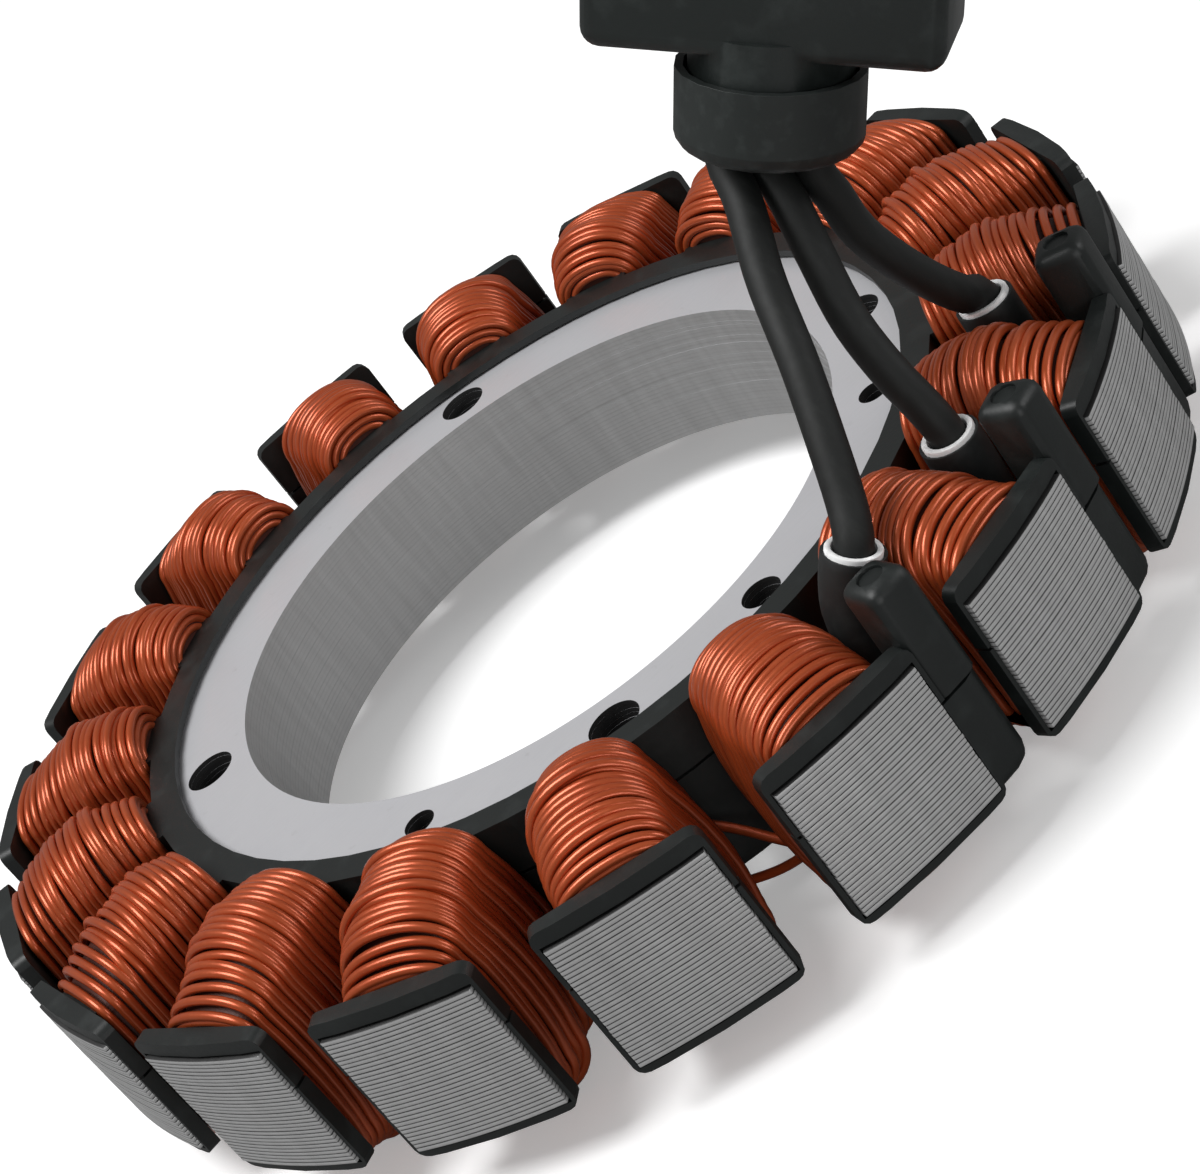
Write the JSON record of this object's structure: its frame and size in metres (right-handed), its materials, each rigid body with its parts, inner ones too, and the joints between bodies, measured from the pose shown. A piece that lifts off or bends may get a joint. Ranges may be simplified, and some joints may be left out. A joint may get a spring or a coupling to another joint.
{
  "type": "wound stator",
  "caption": "Ring of wound copper coils on a laminated steel core with moulded insulators, and three stiff leads that rise to a moulded plug.",
  "frame": {"origin": "centre of the bore at the height of the coils' lowest turns, where the part rests", "axes": "+Z along the bore axis, towards the face that the leads rise from; +X through the middle of the first tooth"},
  "size_m": [0.134, 0.1338, 0.0836],
  "materials": {
    "core_steel": "stamped electrical steel, satin",
    "insulator_resin": "black moulded resin, satin",
    "enamelled_copper": "copper magnet wire under clear red-brown enamel",
    "sleeve_black": "black heat-proof sleeving, matt",
    "sleeve_white": "white cut sleeving, matt",
    "solder": "tinned joint",
    "lead_jacket": "black lead insulation, semi-matt",
    "seal_rubber": "black moulded rubber, matt",
    "plug_resin": "black moulded housing, satin",
    "contact_brass": "bright"
  },
  "bodies": {
    "root": {"lamination_stack": "core_steel", "insulator_upper": "insulator_resin", "insulator_lower": "insulator_resin", "coil_01": "enamelled_copper", "coil_02": "enamelled_copper", "coil_03": "enamelled_copper", "coil_04": "enamelled_copper", "coil_05": "enamelled_copper", "coil_06": "enamelled_copper", "coil_07": "enamelled_copper", "coil_08": "enamelled_copper", "coil_09": "enamelled_copper", "coil_10": "enamelled_copper", "coil_11": "enamelled_copper", "coil_12": "enamelled_copper", "coil_13": "enamelled_copper", "coil_14": "enamelled_copper", "coil_15": "enamelled_copper", "coil_16": "enamelled_copper", "coil_17": "enamelled_copper", "coil_18": "enamelled_copper", "lead_sleeve_1": "sleeve_black", "lead_sleeve_2": "sleeve_black", "lead_sleeve_3": "sleeve_black", "sleeve_liner_1": "sleeve_white", "sleeve_liner_2": "sleeve_white", "sleeve_liner_3": "sleeve_white", "splice_1": "solder", "splice_2": "solder", "splice_3": "solder", "lead_1": "lead_jacket", "lead_2": "lead_jacket", "lead_3": "lead_jacket", "plug_seal": "seal_rubber", "plug_body": "plug_resin", "contact_pin_1": "contact_brass", "contact_pin_2": "contact_brass", "contact_pin_3": "contact_brass"}
  },
  "joints": []
}
